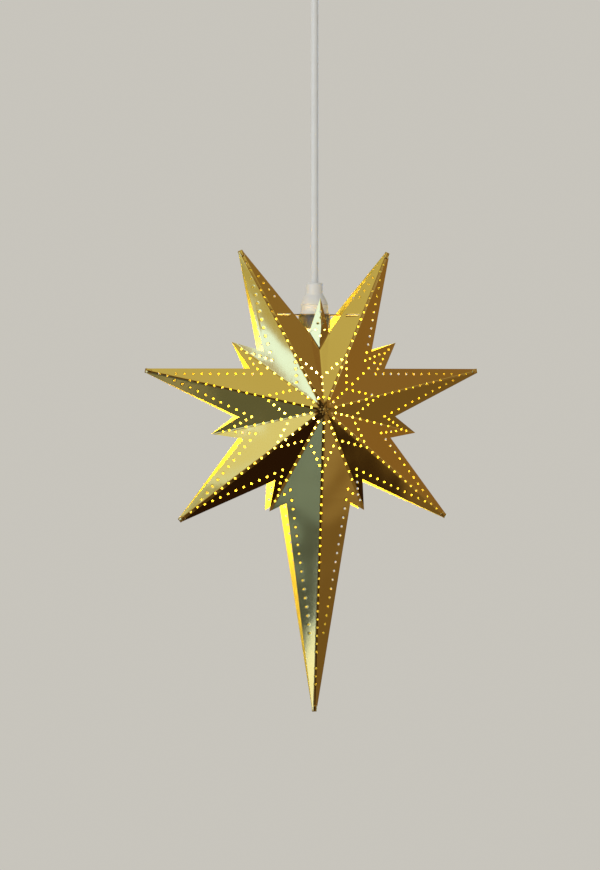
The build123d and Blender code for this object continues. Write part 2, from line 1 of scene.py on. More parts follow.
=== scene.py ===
import bpy
import numpy as np
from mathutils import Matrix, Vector
from mathutils.geometry import delaunay_2d_cdt


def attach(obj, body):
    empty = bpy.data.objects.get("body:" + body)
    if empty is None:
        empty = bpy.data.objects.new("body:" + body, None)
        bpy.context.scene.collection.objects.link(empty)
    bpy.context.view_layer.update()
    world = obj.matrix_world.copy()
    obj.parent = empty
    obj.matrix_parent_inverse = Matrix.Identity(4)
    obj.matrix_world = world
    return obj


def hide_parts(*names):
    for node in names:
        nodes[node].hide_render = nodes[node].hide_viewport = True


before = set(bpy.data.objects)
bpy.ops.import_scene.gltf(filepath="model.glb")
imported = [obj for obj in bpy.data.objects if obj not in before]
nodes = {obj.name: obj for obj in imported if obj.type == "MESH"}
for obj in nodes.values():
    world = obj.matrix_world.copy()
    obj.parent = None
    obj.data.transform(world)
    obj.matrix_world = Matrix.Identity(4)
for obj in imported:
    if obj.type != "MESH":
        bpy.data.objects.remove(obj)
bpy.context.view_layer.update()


# Ceiling strap, nut and threaded nipple: a bent steel strap screwed to the ceiling, and a tube that hangs
# from it by a nut. They are zinc plated, so they show a pale, slightly blotchy grey with fine brush lines.

class Wire:
    """A shader socket. Arithmetic on wires and numbers adds Math nodes to the socket's own tree."""

    def __init__(self, socket):
        self.socket = socket

    def add(self, kind, sockets, settings=None, out=0):
        """Adds a node of a kind beside this wire: its settings first, then its sockets' values or links."""
        tree = self.socket.id_data
        node = tree.nodes.new("ShaderNode" + kind)
        for name, value in (settings or {}).items():
            setattr(node, name, value)
        for name, value in sockets.items():
            if isinstance(value, Wire):
                tree.links.new(value.socket, node.inputs[name])
            else:
                node.inputs[name].default_value = value
        return Wire(node.outputs[out])

    def to(self, socket):
        self.socket.id_data.links.new(self.socket, socket)

    def math(self, operation, first, second):
        return self.add("Math", {0: first, 1: second}, {"operation": operation})

    def __add__(self, other):
        return self.math("ADD", self, other)

    def __sub__(self, other):
        return self.math("SUBTRACT", self, other)

    def __rsub__(self, other):
        return self.math("SUBTRACT", other, self)

    def __mul__(self, other):
        return self.math("MULTIPLY", self, other)

    def __truediv__(self, other):
        return self.math("DIVIDE", self, other)

    __radd__ = __add__
    __rmul__ = __mul__


def new_finish(name, constants):
    """A material, its Principled shader's sockets with the constants set, and its Object coordinates."""
    material = bpy.data.materials.new(name)
    material.use_nodes = True
    tree = material.node_tree
    shader = tree.nodes["Principled BSDF"].inputs
    for socket, value in constants.items():
        shader[socket].default_value = value
    return material, shader, Wire(tree.nodes.new("ShaderNodeTexCoord").outputs["Object"])


def noise(place, scale, detail=3.0):
    """Soft blotches from 0 to 1, with scale blotches to the metre."""
    return place.add("TexNoise", {"Vector": place, "Scale": scale, "Detail": detail, "Roughness": 0.55})


def stretched(place, across, deep, up):
    """Coordinates that give a pattern of unit scale so many features to the metre each way."""
    return place.add("Mapping", {"Vector": place, "Scale": (across, deep, up)})


def mixed(mask, low, high):
    """A colour between two by a mask from 0 to 1. Each of the two is a tuple or a wire."""
    low, high = ((*colour, 1.0) if isinstance(colour, tuple) else colour for colour in (low, high))
    return mask.add("Mix", {0: mask, 6: low, 7: high}, {"data_type": "RGBA"}, 2)


def between(mask, low, high):
    """A mask from 0 to 1 as a number between low and high, or as a colour between two colours."""
    return mixed(mask, low, high) if isinstance(low, tuple) else low + mask * (high - low)


def steps(value, start, end):
    """A mask that rises from 0 to 1, smoothly, as a value goes from start to end."""
    limits = {"Value": value, "From Min": start, "From Max": end}
    return value.add("MapRange", limits, {"interpolation_type": "SMOOTHSTEP"})


def bumped(shader, height, depth):
    """Feeds a height from 0 to 1, of a depth in metres, to the shader's normal."""
    height.add("Bump", {"Strength": 1.0, "Distance": depth, "Height": height}).to(shader["Normal"])


def zinc_plated():
    material, shader, place = new_finish("zinc_plated", {"Metallic": 1.0})
    blotches = noise(place, 130.0, 4.0)
    brushing = noise(stretched(place, 300.0, 9000.0, 9000.0), 1.0, 2.0)
    between(blotches, (0.50, 0.51, 0.52), (0.66, 0.67, 0.66)).to(shader["Base Color"])
    (between(blotches, 0.30, 0.44) + brushing * 0.08).to(shader["Roughness"])
    bumped(shader, brushing, 0.00002)
    return material


def dress(material, *names):
    """Gives CAD nodes, whose shapes stay as they are, a material."""
    for name in names:
        mesh = nodes[name].data
        mesh.materials.clear()
        mesh.materials.append(material)


zinc = zinc_plated()
dress(zinc, "ceiling_strap", "strap_nut", "nipple", "filament_supports")


# Terminal block with two brass clamp screws, and the brown and blue cores of the cord that end in it. The
# block is cloudy moulded plastic, and the cores have a smooth coloured insulation.

def turned_brass():
    material, shader, place = new_finish("turned_brass", {"Metallic": 1.0})
    tarnish = noise(place, 420.0, 4.0)
    between(tarnish, (0.70, 0.50, 0.20), (0.56, 0.38, 0.15)).to(shader["Base Color"])
    between(tarnish, 0.22, 0.40).to(shader["Roughness"])
    return material


def moulded(name, pale, dark, rough, grain):
    """Moulded plastic: a slow drift between two shades, uneven gloss and a fine moulded grain."""
    material, shader, place = new_finish(name, {"IOR": 1.48})
    drift = noise(place, 45.0)
    skin = noise(place, 2600.0, 2.0)
    between(drift, pale, dark).to(shader["Base Color"])
    (between(noise(place, 210.0), rough - 0.05, rough + 0.06) + skin * 0.03).to(shader["Roughness"])
    bumped(shader, skin, grain)
    return material


bright_brass = turned_brass()
dress(bright_brass, "terminal_screws", "terminal_posts", "centre_contact", "screw_shell")
dress(moulded("cloudy_plastic", (0.80, 0.78, 0.72), (0.72, 0.70, 0.64), 0.38, 0.00002), "terminal_block")
brown_core = moulded("brown_core", (0.22, 0.10, 0.05), (0.16, 0.07, 0.035), 0.40, 0.00001)
dress(brown_core, "live_core", "live_wire")
blue_core = moulded("blue_core", (0.05, 0.16, 0.48), (0.035, 0.12, 0.38), 0.40, 0.00001)
dress(blue_core, "neutral_core", "neutral_wire")


# Ceiling cup and cord grip: white moulded plastic, turned shapes with soft edges. The cup hides the strap
# and the wires, and the grip under it clamps the cord with a small plastic screw.

TURNS = 96  # divisions round a turned piece
CORNER_POINTS = 6  # along a soft corner
SHORT_SIDE = 0.45  # the share of a short side that a soft corner takes
SHARP = np.radians(35)  # an edge past this angle isn't smoothed


def soft_corners(profile, radius):
    """A closed profile of (radius, height) points whose corners are cut by quadratic curves of that size.

    On each corner c between neighbours a and b the curve is (1-t)^2 p + 2t(1-t) c + t^2 q, where p and q
    lie towards a and b by the radius, or by a share of that side where the side is short.
    """
    corner = np.asarray(profile, float)
    cuts = []
    for neighbour in (1, -1):
        way = np.roll(corner, neighbour, axis=0) - corner
        far = np.linalg.norm(way, axis=1, keepdims=True)
        cuts.append(corner + way / far * np.minimum(radius, SHORT_SIDE * far))
    p, q = cuts
    t = np.linspace(0, 1, CORNER_POINTS)[None, :, None]
    curve = (1 - t) ** 2 * p[:, None] + 2 * t * (1 - t) * corner[:, None] + t ** 2 * q[:, None]
    return curve.reshape(-1, 2)


def mesh_piece(name, points, faces, *materials):
    """A new piece from an array of points and a list of faces, smooth but for its sharp edges."""
    mesh = bpy.data.meshes.new(name)
    mesh.from_pydata(points, [], faces)
    for material in materials:
        mesh.materials.append(material)
    mesh.shade_smooth()
    mesh.set_sharp_from_angle(angle=SHARP)
    piece = bpy.data.objects.new(name, mesh)
    bpy.context.scene.collection.objects.link(piece)
    return piece


def grid_faces(rows, columns):
    """Quads of a grid of points that closes on itself both ways."""
    row, column = np.meshgrid(np.arange(rows), np.arange(columns), indexing="ij")
    right, below = (column + 1) % columns, (row + 1) % rows
    here, under = row * columns, below * columns
    quads = [here + column, here + right, under + right, under + column]
    return np.stack(quads, axis=-1).reshape(-1, 4).tolist()


def turned(name, profile, radius, material, body, *replaced):
    """A piece turned about Z: each (r, z) of a closed profile goes to (r cos a, r sin a, z) all round.

    The profile runs with its solid on its right as height goes up, so the faces point outwards.
    """
    ring = soft_corners(profile, radius)
    angle = np.linspace(0, 2 * np.pi, TURNS, endpoint=False)
    r, z = ring[:, :1], ring[:, 1:] + 0 * angle
    points = np.stack([r * np.cos(angle), r * np.sin(angle), z], axis=-1).reshape(-1, 3)
    piece = mesh_piece(name, points, grid_faces(len(ring), TURNS), material)
    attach(piece, body)
    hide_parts(*replaced)
    return piece


cup_white = moulded("cup_white", (0.82, 0.81, 0.78), (0.78, 0.77, 0.74), 0.27, 0.000008)
satin_white = moulded("satin_white", (0.84, 0.84, 0.82), (0.80, 0.79, 0.76), 0.36, 0.000012)
cup_profile = [(0.0051, -0.0480), (0.0051, -0.0500), (0.0330, -0.0500), (0.0420, -0.0410), (0.0420, 0.0),
               (0.0400, 0.0), (0.0400, -0.0402), (0.0322, -0.0480)]
turned("ceiling_cup_shell", cup_profile, 0.0040, cup_white, "ceiling", "ceiling_cup")
grip_profile = [(0.0041, -0.0690), (0.0064, -0.0740), (0.0080, -0.0740), (0.0088, -0.0715),
                (0.0088, -0.0530), (0.0084, -0.0525), (0.0088, -0.0520), (0.0088, -0.0501),
                (0.0051, -0.0501), (0.0051, -0.0581), (0.0041, -0.0581)]
turned("cord_grip_body", grip_profile, 0.0005, satin_white, "ceiling", "cord_grip")
dress(satin_white, "grip_screw", "strain_relief")


# Cord: a round white two-core cable, pulled straight by the lamp's weight. It runs from the grip under the
# ceiling cup, where its end is tapered so that it can swing, into the lamp holder's neck.

def extruded_sheath():
    material, shader, place = new_finish("cord_sheath", {"IOR": 1.5})
    lines = noise(stretched(place, 1800.0, 1800.0, 14.0), 1.0, 2.0)
    dust = noise(place, 90.0, 4.0)
    between(dust, (0.84, 0.83, 0.80), (0.76, 0.75, 0.72)).to(shader["Base Color"])
    (between(dust, 0.34, 0.46) + lines * 0.06).to(shader["Roughness"])
    bumped(shader, lines, 0.00002)
    return material


CORD_RADIUS = 0.0038
TAPERED = 0.62  # the share of it that is left at the end in the grip
cord_heights = (-0.0661, -0.0690, -0.0720, -0.1000, -0.1600, -0.2200, -0.2800, -0.3300, -0.3636)
curve = bpy.data.curves.new("lamp_cord", "CURVE")
curve.dimensions = "3D"
line = curve.splines.new("NURBS")
line.points.add(len(cord_heights) - 1)
line.points.foreach_set("co", np.array([(0, 0, height, 1) for height in cord_heights], np.float32).ravel())
line.points.foreach_set("radius", np.array([TAPERED] + [1.0] * (len(cord_heights) - 1), np.float32))
line.order_u = 3
line.use_endpoint_u = True
line.resolution_u = 12
curve.bevel_depth = CORD_RADIUS
curve.bevel_resolution = 8
curve.use_fill_caps = True
curve.materials.append(extruded_sheath())
lamp_cord = bpy.data.objects.new("lamp_cord", curve)
bpy.context.scene.collection.objects.link(lamp_cord)
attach(lamp_cord, "cord")
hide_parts("cord")
dress(curve.materials[0], "cord_tail")


# Lamp holder: a white plastic cap with a neck round the cord, screwed on a skirt whose flange stands on the
# lamp bracket. Its insulating core carries the screw shell, the spring contact and the two wires' posts.

cap_profile = [(0.0107, -0.3780), (0.0133, -0.3780), (0.0133, -0.3772), (0.0128, -0.3760),
               (0.0104, -0.3705), (0.0088, -0.3680), (0.0084, -0.3660), (0.0084, -0.3572),
               (0.0074, -0.3563), (0.0041, -0.3563), (0.0041, -0.3637), (0.0058, -0.3637),
               (0.0058, -0.3706)]
turned("holder_cap_shell", cap_profile, 0.0007, satin_white, "lamp", "holder_cap")
skirt_profile = [(0.0111, -0.4021), (0.0130, -0.4021), (0.0130, -0.3871), (0.0142, -0.3871),
                 (0.0142, -0.3851), (0.0133, -0.3849), (0.0133, -0.3815), (0.0129, -0.3812),
                 (0.0133, -0.3809), (0.0133, -0.3781), (0.0111, -0.3781), (0.0111, -0.3835),
                 (0.0092, -0.3835), (0.0092, -0.3855), (0.0111, -0.3855)]
turned("holder_skirt_shell", skirt_profile, 0.0004, satin_white, "lamp", "holder_skirt")
dress(moulded("holder_insulator", (0.78, 0.75, 0.68), (0.70, 0.67, 0.60), 0.55, 0.00003), "holder_core")


# Star sheets: two thin brass sheets, punched with rows of round holes and then folded into ridges and
# valleys. They meet at the points' tips. The outside is polished and lacquered, the inside left as rolled.

POINTS = 7
TURN = 2 * np.pi / POINTS
STAR_Z = -0.480
SHEET = 0.0005
SEAM = 0.00015  # from the mid-plane to a sheet's inside
PEAK = 0.0411  # height of the folds' centre above the mid-plane
TIP_RISE = 0.0008
BEND = 0.0018  # half width of a rounded fold
HOLE = 0.00115
DISH = 0.0021  # radius of the sheet that a punch draws in with its hole
DRAWN = 0.00004  # how far the punch draws a hole's rim in
SIDES = 12  # of a punched hole
TIP_HALF = 0.0020  # half width of a point's blunt tip
TOP = 3  # the small point at the top, and the large one on its right
TOP_FACETS = (6, 7)  # on both sides of it

number = np.arange(POINTS)  # large points, anticlockwise from the long one at the bottom
low = np.isin(number, (0, POINTS - 1))  # the small points beside the long one
SIDE = np.array([1, -1])
beside = np.stack([number, number - 1], axis=-1) % POINTS  # the small point on each side of a large one
point_axis = np.exp(1j * (TURN * number - np.pi / 2))
tip = np.where(number == 0, 0.2953, 0.1705)
small_axis = point_axis * np.exp(0.5j * TURN)
small = small_axis * np.where(low, 0.1092, 0.1051)
small_rise = np.where(low, 0.010, 0.0)
# notches on both sides of each large point: most of them, the long point's, their neighbours', the top's
notch_reach, notch_angle = np.full((POINTS, 2), 0.0783), np.full((POINTS, 2), 17.85)
notch_reach[0], notch_angle[0] = 0.0957, 19.47
notch_reach[[1, 6], [1, 0]], notch_angle[[1, 6], [1, 0]] = 0.0803, 18.68
notch_reach[[3, 4], [0, 1]], notch_angle[[3, 4], [0, 1]] = 0.0754, 18.2
notch = point_axis[:, None] * notch_reach * np.exp(1j * np.radians(SIDE * notch_angle))
tip_corner = point_axis[:, None] * (tip[:, None] + 1j * TIP_HALF * SIDE)


def plane_through(places, heights):
    """The a, b and c of planes a x + b z + c, each through three front-view places at given heights."""
    rows = np.stack([places.real, places.imag, np.ones(places.shape)], axis=-1)
    return np.linalg.solve(rows, heights[..., None])[..., 0]


def height_on(plane, place):
    return plane[..., 0] * place.real + plane[..., 1] * place.imag + plane[..., 2]


def left_of(start, end, place):
    """Where a place lies to the left of the way from start to end."""
    return (np.conj(end - start) * (place - start)).imag > 0


facet_ends = np.stack(np.broadcast_arrays(0j, (tip * point_axis)[:, None], small[beside]), axis=-1)
facet_rises = np.stack(np.broadcast_arrays(PEAK, TIP_RISE, small_rise[beside]), axis=-1)
facets = plane_through(facet_ends, facet_rises)
sectors = np.stack([facets[:, 0], np.roll(facets[:, 1], -1, axis=0)], axis=1).reshape(-1, 3)

# the small point at the top is folded outwards, which bends the facets beside it
top_notch, crease, kite_bend, kite_tip = notch[TOP, 0], 0.0583j, 0.0820j, 0.1085j
NOTCH_RISE, CREASE_RISE, BEND_RISE, KITE_RISE = 0.0190, 0.0205, 0.0270, 0.0240
top_ends = np.array([(0j, tip[TOP] * point_axis[TOP], top_notch), (0j, top_notch, crease),
                     (crease, top_notch, kite_bend), (kite_bend, top_notch, kite_tip)])
top_rises = np.array([(PEAK, TIP_RISE, NOTCH_RISE), (PEAK, NOTCH_RISE, CREASE_RISE),
                      (CREASE_RISE, NOTCH_RISE, BEND_RISE), (BEND_RISE, NOTCH_RISE, KITE_RISE)])
top_planes = plane_through(top_ends, top_rises)
crease_length = abs(top_notch - crease)
crease_way = (top_notch - crease) / crease_length

# a fold's slope beside it, below zero on ridges, and how deep and wide the centre is flattened
RIDGE_SLOPE, VALLEY_SLOPE, TOP_VALLEY_SLOPE, CREASE_SLOPE = -0.38, 0.27, 0.44, 0.30
CENTRE_SINK, CENTRE_RADIUS = 0.0017, 0.0055

# each facet in turn, anticlockwise from the long point's right side: its twist, and the pillow of its inner
# triangle, which the centre and two places along the ridge and the valley bound
TWIST_LENGTH = 0.17
twist = np.array([0, 0.045, 0, 0, 0, 0, 0, 0, 0.080, 0, 0, 0.045, 0, -0.055])
pillow = np.array([0, 0, 0, 0, 0.10, 0, -0.10, 0.10, 0, 0, 0.2, 0, 0, 0]) * 0.001
inner_ridge, long_inner_ridge, inner_valley = 0.0585, 0.0594, 0.0318 * np.exp(0.5j * TURN)


def uneven(place, sector):
    """How far hand folding left the facets off their planes.

    At u along a facet's ridge and v off it, a twist t over a length l adds t v (u - v / tan h) / l, where h
    is half the angle between two large points: nothing at the ridge and at the valley. Over the triangle
    between the centre and the slanting row of holes a pillow p adds 27 p a b c, where a, b and c are the
    place's shares of its corners.
    """
    local = place / point_axis[(sector + 1) // 2 % POINTS]
    off_ridge = np.abs(local.imag)
    valley_share = off_ridge / inner_valley.imag
    ridge_share = (local.real - valley_share * inner_valley.real) / inner_ridge
    shares = np.stack([valley_share, ridge_share, 1 - valley_share - ridge_share])
    blown = 27 * np.clip(shares, 0, None).prod(axis=0)
    before_valley = local.real - off_ridge / np.tan(TURN / 2)
    return twist[sector] * off_ridge * before_valley / TWIST_LENGTH + pillow[sector] * blown


def rounded(slope, off_fold):
    """What a rounded fold adds at a distance d from it, within its half width w: slope (w - d)^2 / 2w."""
    return slope * np.clip(BEND - off_fold, 0, None) ** 2 / (2 * BEND)


def folded(place):
    """Height of the folded sheet over front-view places: each place's plane, rounded at the folds.

    Ridges sink and valleys rise, and the facets are a little uneven. At r from the centre, which is
    flattened, the height falls by a bell curve s exp(-(r / c)^2) of depth s and radius c.
    """
    sector = np.floor((np.angle(place) + np.pi / 2) % (2 * np.pi) / (TURN / 2)).astype(int) % (2 * POINTS)
    height = height_on(sectors[sector], place)
    right = np.abs(place.real) + 1j * place.imag
    at_top = np.isin(sector, TOP_FACETS)
    height = np.where(at_top, height_on(top_planes[0], right), height)
    chosen = at_top
    for start, plane in zip((0j, crease, kite_bend), top_planes[1:]):
        chosen = chosen & left_of(start, top_notch, right)
        height = np.where(chosen, height_on(plane, right), height)
    folds = ((point_axis, RIDGE_SLOPE, np.inf), (np.delete(small_axis, TOP), VALLEY_SLOPE, np.inf),
             (1j, TOP_VALLEY_SLOPE, crease.imag))
    for axes, slope, end in folds:
        way_along = place[..., None] / axes
        on_fold = (way_along.real > 0) & (way_along.real < end)
        off_fold = np.where(on_fold, np.abs(way_along.imag), BEND).min(axis=-1)
        height = height + rounded(slope, off_fold)
    from_crease = (right - crease) / crease_way
    on_crease = at_top & (from_crease.real > 0) & (from_crease.real < crease_length)
    off_crease = np.where(on_crease, np.abs(from_crease.imag), BEND)
    height = height + rounded(CREASE_SLOPE, off_crease)
    height = height + uneven(place, sector)
    return height - CENTRE_SINK * np.exp(-np.abs(place / CENTRE_RADIUS) ** 2)


def evenly(first, pitch, count):
    """A row of holes a pitch apart."""
    return first + pitch * np.arange(count)


ridge_row = np.concatenate([evenly(0.0125, 0.00825, 5), evenly(inner_ridge, 0.00778, 10), [0.1500, 0.1577]])
long_ridge_row = np.concatenate([evenly(0.0125, 0.0084, 5), evenly(long_inner_ridge, 0.00804, 23),
                                 evenly(0.2526, 0.008, 3)])
valley_row = np.concatenate([evenly(0.0125, 0.00643, 4), evenly(0.0402, 0.00817, 5), [0.0884, 0.0943]])
low_valley_row = np.concatenate([evenly(0.0125, 0.00655, 4), evenly(0.0410, 0.00857, 5), [0.0919, 0.0980]])
# rows on one facet of a point whose ridge runs along the first axis: beside its own edge, then beside the
# small point's, and on the long point the other way round
edge_rows = np.concatenate([evenly(0.0632 + 0.0212j, 0.0079 - 0.0018j, 11),
                            evenly(0.0674 + 0.02525j, 0.0042 + 0.00405j, 3)])
low_edge_rows = np.concatenate([evenly(0.0648 + 0.0222j, 0.00781 - 0.0020j, 11),
                                evenly(0.0694 + 0.0267j, 0.0046 + 0.0045j, 3)])
long_edge_rows = np.concatenate([[0.0772 + 0.0287j, 0.0816 + 0.0341j],
                                 evenly(0.0874 + 0.02705j, 0.0087 - 0.00135j, 16)])
top_edge_row = evenly(0.1174 + 0.0091j, 0.0079 - 0.0016j, 4)
kite_holes = np.array([0.0715j, 0.0890j, 0.0950j, 0.0027 + 0.0835j, 0.0046 + 0.0776j,
                       -0.0027 + 0.0835j, -0.0046 + 0.0776j])


def facet_rows(point, side):
    """Holes of one facet: beside its edges, and a slanting row from the ridge to the valley."""
    next_small = beside[point, side]
    if point == 0:
        rows = long_edge_rows
    elif next_small == TOP:
        rows = top_edge_row
    else:
        rows = low_edge_rows if low[next_small] else edge_rows
    ridge_end = long_inner_ridge if point == 0 else inner_ridge
    slanting = ridge_end + (inner_valley - ridge_end) * np.arange(1, 5) / 5
    both = np.concatenate([rows, slanting])
    return point_axis[point] * (both if side == 0 else np.conj(both))


hole_rows = [kite_holes]
for point in number:
    ridge = long_ridge_row if point == 0 else ridge_row
    valley = low_valley_row if low[point] else valley_row
    if point == TOP:
        valley = valley[:4]  # only the inner holes
    hole_rows += [point_axis[point] * ridge, small_axis[point] * valley]
    hole_rows += [facet_rows(point, 0), facet_rows(point, 1)]
holes = np.concatenate(hole_rows)

outline = []
for point in number:
    outline += [tip_corner[point, 1], tip_corner[point, 0], notch[point, 0]]
    outline += [kite_tip if point == TOP else small[point], notch[(point + 1) % POINTS, 1]]
outline = np.array(outline)
slit_corner = 0.00675 + 0.00075j  # from the middle of a slit for the lamp bracket's tab
slit = np.array([-slit_corner, np.conj(slit_corner), slit_corner, -np.conj(slit_corner)])
slits = np.array([-0.03406, 0.03406])[:, None] + 0.0924j + slit
circle = np.exp(2j * np.pi * np.arange(SIDES) / SIDES)
rims = holes[:, None] + HOLE * circle
dishes = holes[:, None] + DISH * circle
# lines that the mesh follows: the folds, from the centre to just past the outline, and those of the top
fold_ends = np.concatenate([tip * point_axis, np.delete(small, TOP)]) * 1.001
fold_sides = 1j * fold_ends / np.abs(fold_ends) * BEND * np.linspace(-1, 1, 5)[:, None]
fold_lines = np.stack([fold_sides, fold_ends + fold_sides], axis=-1).reshape(-1, 2)
top_lines = np.array([(0j, crease), (crease, kite_bend), (kite_bend, kite_tip)])
top_sides = np.array([(start, end) for start in (0j, crease, kite_bend)
                      for end in (top_notch, -np.conj(top_notch))])
bend_shares = np.array([-1, -0.5, 0.5, 1])[:, None]
crease_bends = np.array([crease, top_notch]) + 1j * crease_way * BEND * bend_shares
valley_bends = np.array([0.004j, crease]) + BEND * bend_shares
top_bends = np.concatenate([crease_bends, -np.conj(crease_bends), valley_bends])
# places that the mesh has besides: rings round the flattened centre and a net over each inner triangle
centre_rings = np.linspace(0.0015, 0.0095, 6)[:, None] * np.exp(2j * np.pi * np.arange(42) / 42)
share = np.linspace(0.06, 0.94, 9)
inner = (inner_ridge * share[:, None] + (inner_valley - inner_ridge * share[:, None]) * share)[:-1] * 0.96
inner_net = (point_axis[:, None, None] * np.stack([inner, np.conj(inner)])[:, None]).ravel()


def loops(rings):
    """Edges that close each ring of a (rings, corners) array into a loop, numbered from 0."""
    index = np.arange(rings.size).reshape(rings.shape)
    return np.stack([index, np.roll(index, -1, axis=1)], axis=-1).reshape(-1, 2)


def inside(place, ring):
    """Which places lie inside a ring of corners, by counting the ring's edges above each place."""
    way = np.roll(ring, -1) - ring
    level = (place.real[:, None] - ring.real) / np.where(way.real == 0, 1e-12, way.real)
    crossed = (level >= 0) & (level < 1) & (ring.imag + level * way.imag > place.imag[:, None])
    return crossed.sum(axis=1) % 2 == 1


def punched_sheet():
    """Triangles of the front view between the outline, folds, holes and slits, as places and corners.

    They are found in millimetres, and those whose middle lies in a hole or slit or past the outline go.
    """
    rings = [outline[None], slits, rims, dishes]
    lines = np.concatenate([fold_lines, top_lines, top_sides, top_bends])
    counts = np.cumsum([0] + [ring.size for ring in rings])
    edges = [loops(ring) + count for ring, count in zip(rings, counts)]
    edges.append(np.arange(lines.size).reshape(-1, 2) + counts[-1])
    flat = np.concatenate([part.ravel() for part in rings + [lines, centre_rings, inner_net]]) * 1000
    flat = [Vector(pair) for pair in np.stack([flat.real, flat.imag], axis=-1).tolist()]
    found = delaunay_2d_cdt(flat, np.concatenate(edges).tolist(), [], 0, 1e-5, False)
    place = np.array([pair[:] for pair in found[0]]) @ np.array([0.001, 0.001j])
    corners = np.array(found[2])
    middle = place[corners].mean(axis=1)
    kept = inside(middle, outline) & (np.abs(middle[:, None] - holes).min(axis=1) > 0.97 * HOLE)
    kept &= ~(inside(middle, slits[0]) | inside(middle, slits[1]))
    used, corners = np.unique(corners[kept], return_inverse=True)
    return place[used], corners.reshape(-1, 3)


def drawn_in(place):
    """How far a punch drew the sheet in: 1 at a hole's rim, falling evenly to 0 where its dish ends."""
    from_hole = np.abs(place[..., None] - holes).min(axis=-1)
    return np.clip((DISH - from_hole) / (DISH - HOLE), 0, 1)


def standoff(place):
    """From the mid-plane to a sheet's inside."""
    return folded(place) + SEAM - DRAWN * drawn_in(place)


def leaning(place):
    """The sheet's outward normal in front, from its height's slopes over a twentieth of a millimetre."""
    step = 0.000025
    across = (standoff(place + step) - standoff(place - step)) / (2 * step)
    up = (standoff(place + 1j * step) - standoff(place - 1j * step)) / (2 * step)
    normal = np.stack([-across, -np.ones(place.shape), -up], axis=-1)
    return normal / np.linalg.norm(normal, axis=-1, keepdims=True)


def lacquered_brass():
    """Polished sheet: slow drift of tone, haze, fine rolling lines along Z and gentle buckles.

    Its colour is a little darker, and its gloss less, where a punch drew the sheet in.
    """
    lacquer = {"Metallic": 1.0, "Coat Weight": 0.12, "Coat Roughness": 0.1}
    material, shader, place = new_finish("lacquered_brass", lacquer)
    drift = noise(place, 11.0)
    haze = noise(place, 60.0, 5.0)
    rolling = noise(stretched(place, 2400.0, 2400.0, 18.0), 1.0, 2.0)
    rim = place.add("Attribute", {}, {"attribute_name": "rim"}, "Fac")
    tone = between(drift, (0.80, 0.57, 0.20), (0.86, 0.64, 0.27))
    mixed(rim * 0.15, tone, (0.42, 0.26, 0.07)).to(shader["Base Color"])
    (between(haze, 0.045, 0.085) + rolling * 0.03 + rim * 0.06).to(shader["Roughness"])
    bumped(shader, noise(place, 15.0, 1.0) + rolling * 0.004, 0.0013)
    return material


def rolled_brass():
    """The sheets' inside, as rolled: duller and yellower, with stains."""
    material, shader, place = new_finish("rolled_brass", {"Metallic": 0.5})
    stains = noise(place, 50.0, 4.0)
    between(stains, (0.95, 0.82, 0.17), (0.91, 0.75, 0.13)).to(shader["Base Color"])
    between(stains, 0.40, 0.50).to(shader["Roughness"])
    return material


place, corners = punched_sheet()
height = standoff(place)
rim_share = drawn_in(place)
pair = np.concatenate([corners[:, [0, 1]], corners[:, [1, 2]], corners[:, [2, 0]]])
edge_key = np.sort(pair, axis=1) @ np.array([len(place), 1])
_, first_seen, times = np.unique(edge_key, return_index=True, return_counts=True)
border = pair[first_seen[times == 1]]
# each triangle's corner normals, taken just inside the triangle so that sharp folds stay sharp
corner_normals = leaning(0.97 * place[corners] + 0.03 * place[corners].mean(axis=1, keepdims=True))
brass, brass_inside = lacquered_brass(), rolled_brass()


def star_sheet(name, front, node):
    """One sheet: its outside, its inside a thickness nearer the mid-plane, and walls at every cut."""
    towards = -1 if front else 1
    layers = [np.stack([place.real, towards * (height + out), STAR_Z + place.imag], axis=-1)
              for out in (SHEET, 0)]
    order = slice(None) if front else slice(None, None, -1)
    outer, edge = corners[:, order], border[:, order]
    walls = np.stack([edge[:, 1], edge[:, 0], edge[:, 0] + len(place), edge[:, 1] + len(place)], axis=-1)
    faces = outer.tolist() + (outer[:, ::-1] + len(place)).tolist() + walls.tolist()
    piece = mesh_piece(name, np.concatenate(layers), faces, brass, brass_inside)
    mesh = piece.data
    slot_of = np.repeat([0, 1], [len(outer), len(faces) - len(outer)]).astype(np.int32)
    mesh.polygons.foreach_set("material_index", slot_of)
    rim = mesh.attributes.new("rim", "FLOAT", "POINT")
    rim.data.foreach_set("value", np.tile(rim_share, 2).astype(np.float32))
    outward = corner_normals[:, order] * np.array([1, -towards, 1])
    across = layers[0][edge[:, 0]] - layers[0][edge[:, 1]]
    down = layers[1][edge[:, 1]] - layers[0][edge[:, 1]]
    wall_normals = np.cross(across, down)
    wall_normals /= np.linalg.norm(wall_normals, axis=1, keepdims=True)
    normals = [outward.reshape(-1, 3), -outward[:, ::-1].reshape(-1, 3), np.repeat(wall_normals, 4, axis=0)]
    mesh.normals_split_custom_set(np.concatenate(normals))
    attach(piece, "lamp")
    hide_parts(node)


star_sheet("star_front_sheet", True, "front_shell")
star_sheet("star_back_sheet", False, "back_shell")


# Lock tabs: a narrow tongue of the back sheet at each large point, bent round the tip and pressed down over
# the front sheet's ridge. They hold the two sheets together.

TAB_LENGTH, TAB_BEND = 0.0055, 0.0008  # from the tip back to a tab's ends and to where it bends
TAB_NOSE = 0.00115  # reach of the bend
TAB_HALF = 0.0021
TAB_GAP = 0.00025  # over the sheet
TAB_DROOP = 0.00045
TAB_SHEET = 0.0004


